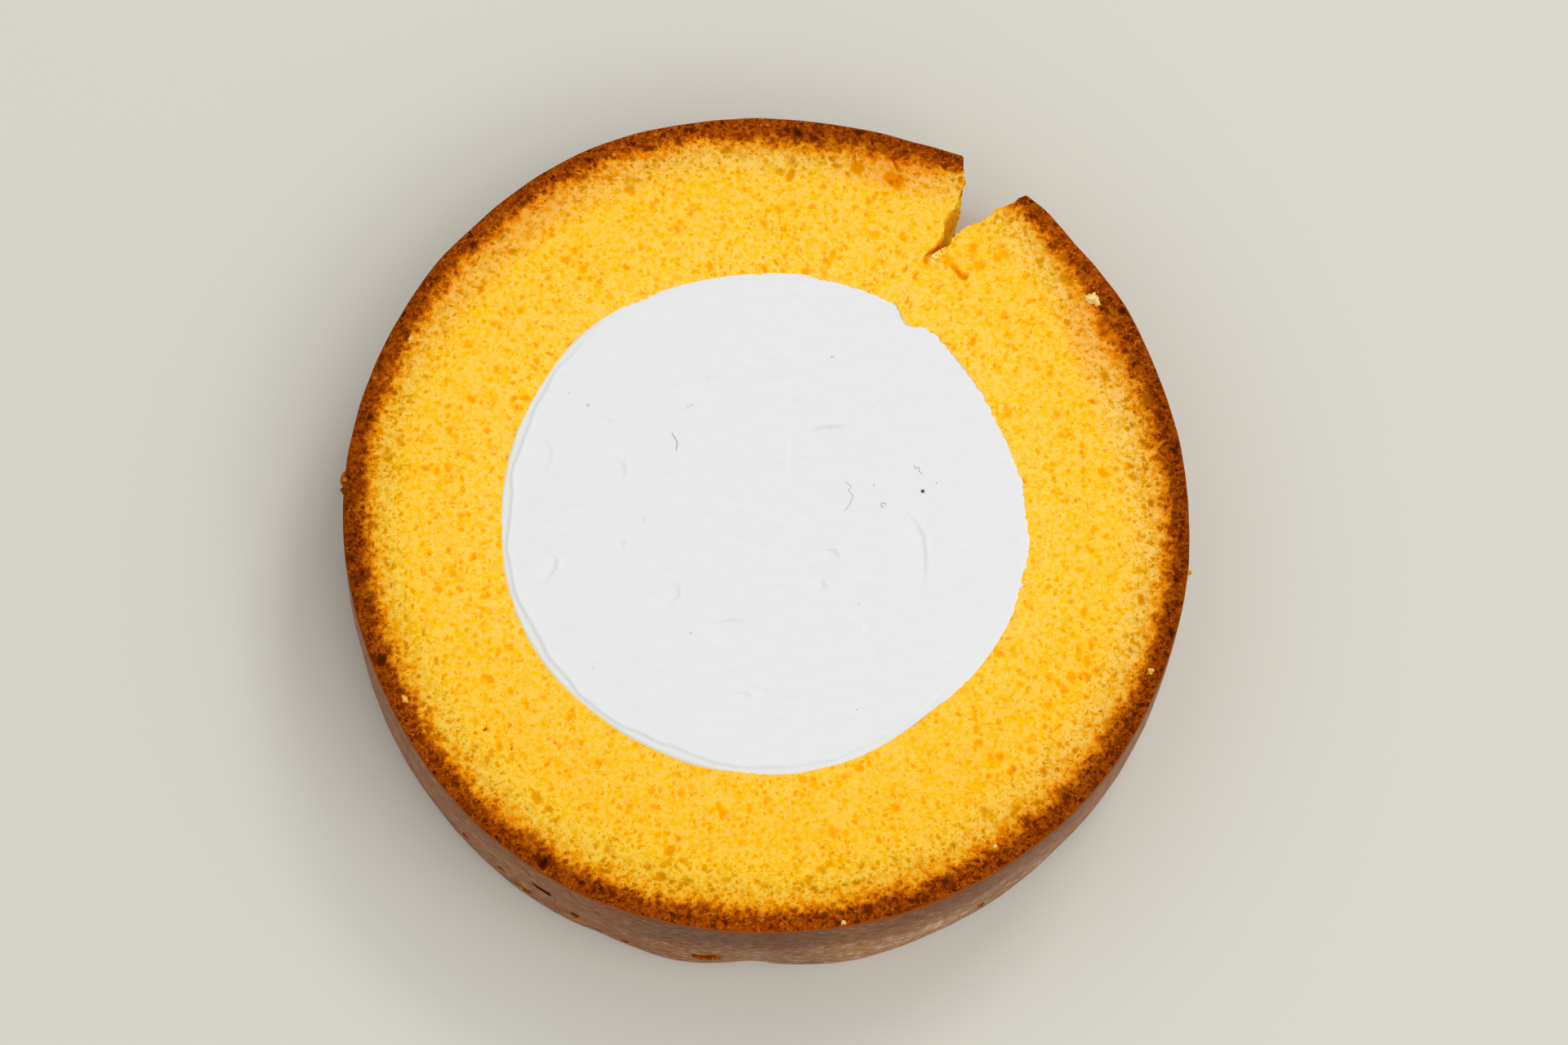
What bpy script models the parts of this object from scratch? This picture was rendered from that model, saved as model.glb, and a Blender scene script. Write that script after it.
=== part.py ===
"""One slice of a swiss roll cake, lying on its cut face.

A flat sheet of sponge is rolled once round a core of whipped cream, so that it closes to
a C whose two ends meet at a seam and gape open at the outside. The sheet is modelled
flat, as it is baked, and every point of it is then rolled up. Metres, +Z up, with the
origin under the middle of the slice, on the surface that it lies on.
"""

import math

import bmesh
import bpy

MM = 0.001

# Driving sizes
SLICE_HEIGHT = 17.0 * MM  # the cut's thickness, from face to face
OUTER_RADIUS = 45.2 * MM  # to the browned skin
CREAM_RADIUS = 27.7 * MM  # to the sponge's inner side
CREAM_OFFSET = (-0.5 * MM, -0.3 * MM)  # the core sits a little out of the middle
CREAM_PROUD = 0.35 * MM  # the cream's flat top stands above the sponge's face
NODE_GAP = 0.3 * MM  # between the cream and the sponge round it

# The seam, where the sheet's two ends meet
SEAM_ANGLE = 59.2  # degrees, counter-clockwise from +X
SEAM_GAP = 0.36 * MM
SEAM_TOP = 0.33  # share of the sheet's thickness that stays shut
FIRST_END_FLARE = 3.2  # degrees that the first end's outer corner reaches back
LAST_END_OPENING = 7.0  # degrees that the last end gapes by at the skin
TIP_FLARE = 0.8 * MM  # both ends lift out of the round
TIP_FLARE_SPAN = 7.0  # degrees over which they do
TIP_DROOP = 0.9 * MM  # the last end's inner corner sags into the cream
TIP_DROOP_ANGLE = 54.6  # degrees
TIP_DROOP_SPAN = 2.6  # degrees
TIP_LIFT = 0.5 * MM  # the last end rides up a little where it presses on the first
TIP_LIFT_SPAN = 9.0  # degrees back from the seam
TIP_LIFT_DEPTH = 0.55  # share of the thickness, from the cream out

# How far from round the skin and the cream are: lobes, amount, angle of one lobe
SKIN_LOBES = ((2, 0.10 * MM, -62), (4, 0.20 * MM, -37), (5, 0.10 * MM, -31), (6, 0.13 * MM, -8))
CREAM_LOBES = ((2, 0.21 * MM, -4), (4, 0.12 * MM, -23), (5, 0.27 * MM, -10))

# The skin's profile from the foot to the top edge
SKIN_BARREL = 0.15 * MM  # the wall is fullest at half height
SKIN_RIPPLES = 9  # soft waves round the wall's foot
SKIN_RIPPLE = 0.15 * MM
EDGE_ROUND = 0.3 * MM

# The cream's shoulder
SHOULDER_WIDTH = 1.0 * MM
SHOULDER_DROP = 0.55 * MM

# Fineness
SHEET_STEPS = 132
SHEET_LAYERS = 9
WALL_STEPS = 2
EDGE_STEPS = 2
CREAM_STEPS = 96
CREAM_RINGS = 4

CRUMB_COLOUR = (0.93, 0.58, 0.10, 1.0)
CREAM_COLOUR = (0.88, 0.88, 0.87, 1.0)


def smooth_step(value):
    """0 below 0, 1 above 1, and a smooth rise between them."""
    value = min(1.0, max(0.0, value))
    return value * value * (3.0 - 2.0 * value)


def lobes(terms, angle):
    """How far a round with these lobes stands from its circle, at an angle in degrees."""
    return sum(
        amount * math.cos(count * math.radians(angle - start))
        for count, amount, start in terms
    )


def skin_radius(angle):
    """The sheet's outer side, round the slice's middle."""
    past_seam = (angle - SEAM_ANGLE) % 360.0
    near_end = min(past_seam, 360.0 - past_seam)
    flare = TIP_FLARE * math.exp(-((near_end / TIP_FLARE_SPAN) ** 2))
    return OUTER_RADIUS + lobes(SKIN_LOBES, angle) + flare


def cream_radius(angle):
    """The sheet's inner side, round the slice's middle."""
    turn = math.radians(angle)
    offset = CREAM_OFFSET[0] * math.cos(turn) + CREAM_OFFSET[1] * math.sin(turn)
    off_tip = (angle - TIP_DROOP_ANGLE + 180.0) % 360.0 - 180.0
    droop = TIP_DROOP * math.exp(-((off_tip / TIP_DROOP_SPAN) ** 2))
    return CREAM_RADIUS + offset + lobes(CREAM_LOBES, angle) - droop


def first_end(depth):
    """Angle of the sheet's first end; depth is 0 at the cream and 1 at the skin."""
    half_gap = math.degrees(0.5 * SEAM_GAP / CREAM_RADIUS)
    return SEAM_ANGLE + half_gap + FIRST_END_FLARE * depth**6


def last_end(depth):
    """Angle of the sheet's last end, a whole turn on from the first."""
    half_gap = math.degrees(0.5 * SEAM_GAP / CREAM_RADIUS)
    opened = max(0.0, depth - SEAM_TOP) / (1.0 - SEAM_TOP)
    return SEAM_ANGLE - half_gap + 360.0 - LAST_END_OPENING * opened


def tip_lift(angle, depth):
    """How far the last end stands above the face, strongest at the seam by the cream."""
    before_seam = (SEAM_ANGLE + 360.0 - angle) / TIP_LIFT_SPAN
    return TIP_LIFT * smooth_step(1.0 - before_seam) * smooth_step(1.0 - depth / TIP_LIFT_DEPTH)


def rolled(along, depth, height):
    """Where a point of the flat sheet goes: along and depth are shares, height is in metres."""
    angle = first_end(depth) + along * (last_end(depth) - first_end(depth))
    inner, outer = cream_radius(angle), skin_radius(angle)
    up = height / SLICE_HEIGHT
    barrel = SKIN_BARREL * 4.0 * up * (1.0 - up)
    ripple = SKIN_RIPPLE * math.sin(math.radians(SKIN_RIPPLES * angle)) * (1.0 - up)
    radius = inner + depth * (outer - inner) + smooth_step(depth) * (barrel + ripple)
    turn = math.radians(angle)
    return radius * math.cos(turn), radius * math.sin(turn), height + up * tip_lift(angle, depth)


def material(name, colour, roughness, subsurface):
    """A Principled BSDF for a soft, matt food surface."""
    made = bpy.data.materials.new(name)
    made.use_nodes = True
    shader = made.node_tree.nodes["Principled BSDF"]
    shader.inputs["Base Color"].default_value = colour
    shader.inputs["Roughness"].default_value = roughness
    shader.inputs["Metallic"].default_value = 0.0
    shader.inputs["Subsurface Weight"].default_value = subsurface
    return made


def finished(name, mesh_builder, surface, sharp_angle):
    """Turns a bmesh into a named, smooth-shaded object with its material."""
    mesh = bpy.data.meshes.new(name)
    mesh_builder.to_mesh(mesh)
    mesh_builder.free()
    mesh.materials.append(surface)
    mesh.shade_smooth()
    mesh.set_sharp_from_angle(angle=math.radians(sharp_angle))
    made = bpy.data.objects.new(name, mesh)
    bpy.context.scene.collection.objects.link(made)
    return made


def flat_sheet(length, thickness):
    """The sponge before it is rolled: a slab with eased long edges, x along, y through, z up."""
    slab = bmesh.new()
    bmesh.ops.create_grid(slab, x_segments=SHEET_STEPS, y_segments=SHEET_LAYERS, size=0.5)
    for vert in slab.verts:
        vert.co.x = (vert.co.x + 0.5) * length
        vert.co.y = (vert.co.y + 0.5) * thickness
    raised = bmesh.ops.extrude_face_region(slab, geom=list(slab.faces))["geom"]
    lifted = [part for part in raised if isinstance(part, bmesh.types.BMVert)]
    bmesh.ops.translate(slab, verts=lifted, vec=(0.0, 0.0, SLICE_HEIGHT))
    upright = [edge for edge in slab.edges if edge.calc_length() > 0.999 * SLICE_HEIGHT]
    upright = [edge for edge in upright if edge.verts[0].co.z != edge.verts[1].co.z]
    bmesh.ops.subdivide_edges(slab, edges=upright, cuts=WALL_STEPS - 1, use_grid_fill=True)
    skin_edges = [
        edge
        for edge in slab.edges
        if all(vert.co.y > thickness * 0.999 for vert in edge.verts)
        and all(min(vert.co.z, SLICE_HEIGHT - vert.co.z) < EDGE_ROUND * 0.1 for vert in edge.verts)
    ]
    bmesh.ops.bevel(
        slab,
        geom=skin_edges,
        offset=EDGE_ROUND,
        segments=EDGE_STEPS,
        profile=0.5,
        affect="EDGES",
        material=-1,
    )
    bmesh.ops.recalc_face_normals(slab, faces=slab.faces)
    return slab


def make_sponge():
    """The sheet of sponge, rolled round the cream."""
    thickness = OUTER_RADIUS - CREAM_RADIUS
    length = math.pi * (OUTER_RADIUS + CREAM_RADIUS)
    slab = flat_sheet(length, thickness)
    for vert in slab.verts:
        vert.co = rolled(vert.co.x / length, vert.co.y / thickness, vert.co.z)
    bmesh.ops.reverse_faces(slab, faces=slab.faces)  # rolling this way turns the slab inside out
    return finished("sponge", slab, material("sponge crumb", CRUMB_COLOUR, 0.85, 0.15), 40)


def make_cream():
    """The core of whipped cream: a flat disc with a soft shoulder, shaped to the hollow."""
    top = SLICE_HEIGHT + CREAM_PROUD
    disc = bmesh.new()
    rim = CREAM_RADIUS
    shoulder = [
        (
            rim - SHOULDER_WIDTH * (1.0 - math.sin(turn)),
            top - SHOULDER_DROP * (1.0 - math.cos(turn)),
        )
        for turn in (math.radians(90.0 * step / EDGE_STEPS) for step in range(EDGE_STEPS + 1))
    ]
    flat = [(shoulder[0][0] * ring / CREAM_RINGS, top) for ring in range(CREAM_RINGS)]
    profile = flat + shoulder + [(rim, 0.0), (0.0, 0.0)]
    line = [disc.verts.new((radius, 0.0, height)) for radius, height in profile]
    edges = [disc.edges.new(pair) for pair in zip(line, line[1:])]
    bmesh.ops.spin(
        disc,
        geom=line + edges,
        cent=(0.0, 0.0, 0.0),
        axis=(0.0, 0.0, 1.0),
        angle=math.tau,
        steps=CREAM_STEPS,
        use_merge=True,
    )
    bmesh.ops.remove_doubles(disc, verts=disc.verts, dist=0.01 * MM)
    for vert in disc.verts:
        angle = math.degrees(math.atan2(vert.co.y, vert.co.x))
        fit = (cream_radius(angle) - NODE_GAP) / rim
        vert.co.x *= fit
        vert.co.y *= fit
    bmesh.ops.recalc_face_normals(disc, faces=disc.faces)
    return finished("cream", disc, material("whipped cream", CREAM_COLOUR, 0.55, 0.2), 60)


def centre_on_origin(pieces):
    """Slides the slice so that the middle of its box stands over the origin."""
    corners = [vert.co for piece in pieces for vert in piece.data.vertices]
    for axis in (0, 1):
        low = min(corner[axis] for corner in corners)
        high = max(corner[axis] for corner in corners)
        middle = 0.5 * (low + high)
        for piece in pieces:
            for vert in piece.data.vertices:
                vert.co[axis] -= middle


def main():
    for old in list(bpy.data.objects):
        bpy.data.objects.remove(old)
    centre_on_origin([make_sponge(), make_cream()])


main()
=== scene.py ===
import math
import random

import bmesh
import bpy
import numpy as np
from mathutils import Matrix, Vector, kdtree, noise


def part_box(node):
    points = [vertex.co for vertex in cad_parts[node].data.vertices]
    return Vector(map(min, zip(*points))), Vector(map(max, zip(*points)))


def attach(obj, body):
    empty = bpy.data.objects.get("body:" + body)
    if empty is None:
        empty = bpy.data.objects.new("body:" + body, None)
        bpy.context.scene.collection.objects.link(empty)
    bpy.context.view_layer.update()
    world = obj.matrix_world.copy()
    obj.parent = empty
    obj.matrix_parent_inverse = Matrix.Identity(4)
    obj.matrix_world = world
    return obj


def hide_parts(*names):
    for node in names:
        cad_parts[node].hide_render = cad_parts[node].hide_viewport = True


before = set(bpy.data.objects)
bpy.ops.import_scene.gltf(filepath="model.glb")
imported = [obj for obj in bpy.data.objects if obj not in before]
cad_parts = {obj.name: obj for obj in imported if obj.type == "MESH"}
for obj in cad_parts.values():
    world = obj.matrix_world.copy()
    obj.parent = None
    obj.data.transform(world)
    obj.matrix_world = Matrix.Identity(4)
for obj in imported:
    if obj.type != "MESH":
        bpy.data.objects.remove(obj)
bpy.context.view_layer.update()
mm = 0.001
lightLevel = 1.25  # how much light falls on the top face, so that a wanted look can be turned into a paint


def ease(low, high, value):  # 0 at low, 1 at high, smooth between; low may be the larger
    share = np.clip((value - low) / (high - low), 0.0, 1.0)
    return share * share * (3.0 - 2.0 * share)


def waves(places, size, seed=0.0):  # smooth noise at each place, about -0.5 to 0.5, with swells of that size in mm
    moved = places / size + np.array((seed, -seed, 0.5 * seed))
    return np.array([noise.noise(place) for place in moved.tolist()])


def lookAs(red, green, blue, light=lightLevel):  # the paint that looks like this screen colour in the studio
    shares = [channel / 255.0 for channel in (red, green, blue)]
    linear = [s / 12.92 if s <= 0.04045 else ((s + 0.055) / 1.055) ** 2.4 for s in shares]
    return tuple(min(0.96, value / light) for value in linear) + (1.0,)


def meshOf(name, builder):
    mesh = bpy.data.meshes.new(name)
    builder.to_mesh(mesh)
    builder.free()
    return mesh


def placesOf(mesh):
    places = np.empty(len(mesh.vertices) * 3)
    mesh.vertices.foreach_get("co", places)
    return places.reshape(-1, 3)


def addValues(mesh, name, values):  # a number or a vector for each vertex, for the surface to read
    kind, field = ("FLOAT", "value") if values.ndim == 1 else ("FLOAT_VECTOR", "vector")
    layer = mesh.attributes.new(name, kind, "POINT")
    layer.data.foreach_set(field, values.astype(np.float32).ravel())


def toScene(name, mesh, surfaces, node=None):
    for surface in surfaces:
        mesh.materials.append(surface)
    mesh.shade_smooth()
    mesh.set_sharp_from_angle(angle=math.radians(70.0))
    made = bpy.data.objects.new(name, mesh)
    bpy.context.scene.collection.objects.link(made)
    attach(made, "root")
    if node:
        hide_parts(node)
    triangles = sum(len(face.vertices) - 2 for face in mesh.polygons)
    print(name, len(mesh.vertices), "vertices", triangles, "triangles")
    return made


# How the sheet is rolled, as in the part

roll = {  # mm and degrees
    "height": 17.0,
    "skinRadius": 45.2,
    "creamRadius": 27.7,
    "creamShift": (-0.5, -0.3),
    "seamAngle": 59.2,
    "seamGap": 0.0,
    "seamTop": 0.33,
    "firstEndFlare": 3.2,
    "lastEndOpening": 7.0,
    "tipFlare": 0.8,
    "tipFlareSpan": 7.0,
    "tipDroop": 0.9,
    "tipDroopAngle": 54.6,
    "tipDroopSpan": 2.6,
    "tipLift": 0.14,
    "tipLiftSpan": 9.0,
    "tipLiftDepth": 0.55,
    "skinLobes": ((2, 0.10, -62), (4, 0.20, -37), (5, 0.10, -31), (6, 0.13, -8)),
    "creamLobes": ((2, 0.21, -4), (4, 0.12, -23), (5, 0.27, -10)),
    "barrel": 0.15,
    "ripples": 9,
    "ripple": 0.15,
}


def lobes(terms, angle):
    return sum(amount * np.cos(count * np.radians(angle - start)) for count, amount, start in terms)


def skinRadius(angle):
    pastSeam = (angle - roll["seamAngle"]) % 360.0
    nearEnd = np.minimum(pastSeam, 360.0 - pastSeam)
    flare = roll["tipFlare"] * np.exp(-((nearEnd / roll["tipFlareSpan"]) ** 2))
    return roll["skinRadius"] + lobes(roll["skinLobes"], angle) + flare


def creamRadius(angle):
    turn = np.radians(angle)
    shift = roll["creamShift"][0] * np.cos(turn) + roll["creamShift"][1] * np.sin(turn)
    offTip = (angle - roll["tipDroopAngle"] + 180.0) % 360.0 - 180.0
    droop = roll["tipDroop"] * np.exp(-((offTip / roll["tipDroopSpan"]) ** 2))
    return roll["creamRadius"] + shift + lobes(roll["creamLobes"], angle) - droop


def sheetAngle(along, depth):  # both are shares: along the sheet, and from the cream to the skin
    halfGap = math.degrees(0.5 * roll["seamGap"] / roll["creamRadius"])
    first = roll["seamAngle"] + halfGap + roll["firstEndFlare"] * np.clip(depth, 0.0, 1.0) ** 6
    opened = np.maximum(0.0, depth - roll["seamTop"]) / (1.0 - roll["seamTop"])
    last = roll["seamAngle"] - halfGap + 360.0 - roll["lastEndOpening"] * opened
    return first + along * (last - first)


def rolled(along, depth, height):  # height is in mm, from the underside
    angle = sheetAngle(along, depth)
    inner, outer = creamRadius(angle), skinRadius(angle)
    up = height / roll["height"]
    barrel = roll["barrel"] * 4.0 * up * (1.0 - up)
    ripple = roll["ripple"] * np.sin(np.radians(roll["ripples"] * angle)) * (1.0 - up)
    radius = inner + depth * (outer - inner) + ease(0.0, 1.0, depth) * (barrel + ripple)
    beforeSeam = (roll["seamAngle"] + 360.0 - angle) / roll["tipLiftSpan"]
    lift = roll["tipLift"] * ease(0.0, 1.0, 1.0 - beforeSeam) * ease(0.0, 1.0, 1.0 - depth / roll["tipLiftDepth"])
    turn = np.radians(angle)
    return np.stack((radius * np.cos(turn), radius * np.sin(turn), height + up * lift), axis=1)


def slideToPart(places):  # how far to move rolled places so that their box has the part's middle
    low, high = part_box("sponge")
    middle = (places.max(axis=0) + places.min(axis=0)) / 2.0
    return np.array(((low.x + high.x) / 2.0 / mm - middle[0], (low.y + high.y) / 2.0 / mm - middle[1], 0.0))


# The sponge

sponge = {  # mm
    "length": 229.0,
    "thickness": 17.5,
    "alongCells": 930,
    "depthCells": 74,
    "wallRows": 10,
    "skinEdgeCell": 0.60,
    "edgeRound": 0.36,
    "undersideRows": 6,
    "hollowRows": 3,
    "grain": 0.055,
    "unevenness": 0.16,
    "tornEnd": 0.75,
    "closedWave": 0.5,
    "teethLeft": 0.07,
    "teethRight": 0.20,
    "poreCount": 1100,
    "seed": 11,
    "rimWidth": 2.38,
    "strawWidth": 5.8,
    # tints of the skin's painted reflection towards the foot and its painted shade near the top
    "paintedSheenTint": (0.12, 0.55, 1.8),
    "darkTint": (0.38, 0.45, 0.55),
    "rimEnd": 2.25,
    "strawEnd": 6.2,
}

# What changes round the roll: degrees, half width in degrees, and how much
rimSwells = [(20, 16, 0.45), (55, 8, -1.0), (85, 9, 0.7), (130, 22, -0.22), (185, 12, 0.5), (315, 20, 0.3)]
strawSwells = [(262, 80, 1.9), (20, 16, 1.3), (55, 8, -0.6), (85, 9, 0.8), (180, 25, 0.3)]
rimTones = [
    (0, 26, -0.14),
    (42, 8, 0.20),
    (102, 16, 0.17),
    (150, 9, -0.10),
    (185, 16, -0.21),
    (233, 13, -0.10),
    (272, 9, 0.06),
    (325, 24, -0.14),
]
wallTones = [
    (254, 4, -0.07),
    (262, 5, 0.04),
    (268, 2, 0.10),
    (273, 5, -0.10),
    (281, 3, 0.12),
    (289, 10, 0.28),
    (306, 6, 0.06),
]
strawTones = [(30, 7, -0.20), (70, 7, -0.24), (130, 22, -0.16), (315, 30, -0.05)]
strawBlues = [(10, 40, 0.38), (95, 30, 0.22), (180, 40, -0.25), (265, 50, -0.42)]

# Where the skin stands out or in all the way up, and at its foot: degrees, half width in degrees, mm
skinBumps = [(14, 11, 0.28), (31, 6, 0.25), (49, 4, 0.35), (118, 8, 0.15), (142, 6, 0.22), (339, 10, -0.20)]
footBumps = [(259.5, 6, 0.55), (268, 3, -0.30), (280, 8.5, 0.52), (247.5, 4, -0.25), (215, 7, -0.2), (338, 15, -0.55)]

# Holes that show by themselves: x, y, half width, depth, how toasted; each is also painted darker the deeper it is, as
# shade in the hole
ownHoles = [
    (25.25, 30.2, 0.42, 0.20, 0.05),
    (25.6, 29.6, 0.50, 0.24, 0.08),
    (26.0, 28.9, 0.42, 0.20, 0.05),
    (-23.68, -37.48, 0.52, 0.50, 0.0),
    (-25.15, -34.77, 0.55, 0.30, 0.25),
    (-24.4, -34.5, 0.40, 0.25, 0.25),
    (35.95, 21.5, 0.50, 0.36, 1.0),
    (36.35, 20.65, 0.55, 0.36, 1.0),
    (37.1, 20.0, 0.60, 0.14, 0.9),
    (34.39, 26.79, 0.40, 0.45, 1.0),
    (39.3, 17.6, 0.40, 0.45, 1.0),
    (32.32, 29.01, 0.45, 0.35, 0.9),
    (37.4, 23.11, 0.40, 0.35, 0.9),
    (40.16, 16.51, 0.40, 0.35, 0.9),
    (40.69, 13.03, 0.50, 0.35, 0.9),
    (28.8, 34.65, 0.35, 0.40, 0.9),
    (14.34, 37.6, 0.9, 0.12, 0.7),
    (13.6, 38.2, 0.8, 0.10, 0.6),
    (11.22, 35.55, 0.55, 0.2, 0.3),
    (10.11, 39.27, 0.8, 0.18, 0.5),
    (7.48, 41.78, 0.8, 0.16, 0.8),
    (12.97, 41.32, 0.40, 0.4, 0.9),
    (-30.0, -23.06, 0.16, 0.5, 1.0),
    (-26.98, -25.1, 0.14, 0.5, 1.0),
]

# Torn lines and ridges: points along, half width, depth or rise, how dark, how toasted; the darkness is painted shade
# in the grooves, and the toasting is painted shadow in the wedge-shaped crack and along the seam groove
tears = [
    ([(19.3, 29.6), (19.96, 28.62), (20.45, 28.1)], 0.60, 0.20, 0.0, 0.30),
    ([(20.2, 28.2), (20.65, 27.7), (21.0, 27.25)], 0.44, 0.32, 0.0, 0.95),
    ([(20.85, 27.45), (21.2, 27.05), (21.52, 26.75)], 0.46, 0.38, 0.16, 1.0),
    ([(17.9, 28.3), (18.3, 28.9), (18.73, 29.2), (19.5, 29.75)], 0.60, -0.38, 0.0, 0.0),
    ([(18.6, 30.3), (18.03, 29.36), (17.5, 28.4)], 0.36, 0.36, 0.0, 0.6),
]


def flatSheet():  # the sheet as it is baked: x along, y from the cream's side to the skin, z up
    length, thickness, height = sponge["length"], sponge["thickness"], roll["height"]
    rows = sponge["depthCells"]
    slab = bmesh.new()
    bmesh.ops.create_grid(slab, x_segments=sponge["alongCells"], y_segments=rows, size=0.5)
    for vert in slab.verts:
        row = round((vert.co.y + 0.5) * rows)
        vert.co.x = (vert.co.x + 0.5) * length
        vert.co.y = thickness if row == rows else row / (rows - 1) * (thickness - sponge["skinEdgeCell"])
    raised = bmesh.ops.extrude_face_region(slab, geom=slab.faces[:])["geom"]
    lifted = [part for part in raised if isinstance(part, bmesh.types.BMVert)]
    bmesh.ops.translate(slab, verts=lifted, vec=(0.0, 0.0, height))
    upright = [edge for edge in slab.edges if abs(edge.verts[0].co.z - edge.verts[1].co.z) > 0.5 * height]
    bmesh.ops.subdivide_edges(slab, edges=upright, cuts=sponge["wallRows"] - 1, use_grid_fill=True)
    skinEdges = [
        edge
        for edge in slab.edges
        if all(vert.co.y > thickness - 0.01 for vert in edge.verts)
        and all(min(vert.co.z, height - vert.co.z) < 0.01 for vert in edge.verts)
    ]
    bmesh.ops.bevel(
        slab, geom=skinEdges, offset=sponge["edgeRound"], segments=3, profile=0.5, affect="EDGES", material=-1
    )
    return slab


def thinOut(slab):  # the underside and the hollow's wall are plain, so they keep only a few long rows
    height, thickness = roll["height"], sponge["thickness"]
    cell = (thickness - sponge["skinEdgeCell"]) / (sponge["depthCells"] - 1)
    row = height / sponge["wallRows"]
    underStep = thickness / sponge["undersideRows"]
    hollowStep = height / sponge["hollowRows"]
    spare = []
    for edge in slab.edges:
        first, second = edge.verts[0].co, edge.verts[1].co
        if abs(first.x - second.x) < 0.01 or max(first.y, second.y) > thickness - 1.0:
            continue
        if max(first.z, second.z) < 0.01 and first.y > 0.01:
            if first.y % underStep > 1.02 * cell:
                spare.append(edge)
        elif max(first.y, second.y) < 0.01 and 0.01 < first.z < height - 1.2 * row:
            if first.z % hollowStep > 1.02 * row:
                spare.append(edge)
    bmesh.ops.dissolve_edges(slab, edges=spare, use_verts=True)


def distanceTo(points, places):  # how far each place is from a line through these points, seen from above
    nearest = np.full(len(places), 1e9)
    for start, end in zip(np.array(points), np.array(points[1:])):
        along = end - start
        share = np.clip((places[:, :2] - start) @ along / (along @ along), 0.0, 1.0)
        nearest = np.minimum(nearest, np.linalg.norm(places[:, :2] - start - share[:, None] * along, axis=1))
    return nearest


def swellsAt(swells, angle):
    apart = [(angle - middle + 180.0) % 360.0 - 180.0 for middle, _, _ in swells]
    return sum(amount * np.exp(-((off / half) ** 2)) for off, (_, half, amount) in zip(apart, swells))


def bakedFrom(angle, fromSkin):  # how far from the skin it looks, which changes round the roll
    rim = sponge["rimWidth"] + swellsAt(rimSwells, angle)
    straw = sponge["strawWidth"] + swellsAt(strawSwells, angle)
    inRim = fromSkin / rim * sponge["rimEnd"]
    inStraw = sponge["rimEnd"] + (fromSkin - rim) / (straw - rim) * (sponge["strawEnd"] - sponge["rimEnd"])
    inside = sponge["strawEnd"] + fromSkin - straw
    return np.where(fromSkin < rim, inRim, np.where(fromSkin < straw, inStraw, inside))


def toneOf(angle, place):  # what the crumb's colour is multiplied by, from its angle and how far baked it is
    inRim = ease(2.6, 1.6, place)
    inStraw = ease(7.5, 5.0, place) * (1.0 - inRim)
    nearSide = ease(5.0, 8.0, place) * ease(-0.2, -0.9, np.sin(np.radians(angle)))
    red = 1.0 + inRim * swellsAt(rimTones, angle)
    green = red * (1.0 + inStraw * swellsAt(strawTones, angle)) * (1.0 - 0.05 * nearSide)
    blue = green * (1.0 + inStraw * swellsAt(strawBlues, angle)) * (1.0 - 0.16 * nearSide)
    return np.stack((red, green, blue), axis=1)


def wallToneOf(angle, fromTop, flat):  # the skin facing the camera has painted shade near its top and a painted pale, greyish pink reflection of the floor towards the foot; it is also darker near the top on the right side
    nearSide = ease(246.0, 258.0, angle) * ease(322.0, 296.0, angle)
    paintedSheenSide = ease(252.0, 276.0, angle) * ease(322.0, 308.0, angle)
    farEdge = ease(-0.1, 0.5, np.cos(np.radians(angle - 25.0))) * ease(3.5, 1.0, fromTop)
    # painted pale, greyish pink reflection of the floor towards the foot, on the side facing the camera
    paintedSheen = paintedSheenSide * ease(5.0, 12.0, fromTop) * (0.90 + 0.7 * waves(flat, 4.0, 3.0))
    shade = (1.0 + swellsAt(wallTones, angle)) * (1.0 - 0.22 * farEdge)
    # painted shade near the top, on the side facing the camera
    darkened = nearSide * ease(12.5, 5.5, fromTop)
    tint = 1.03 - darkened[:, None] * np.array(sponge["darkTint"])
    tint *= 1.0 + paintedSheen[:, None] * np.array(sponge["paintedSheenTint"])
    return shade[:, None] * tint


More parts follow.
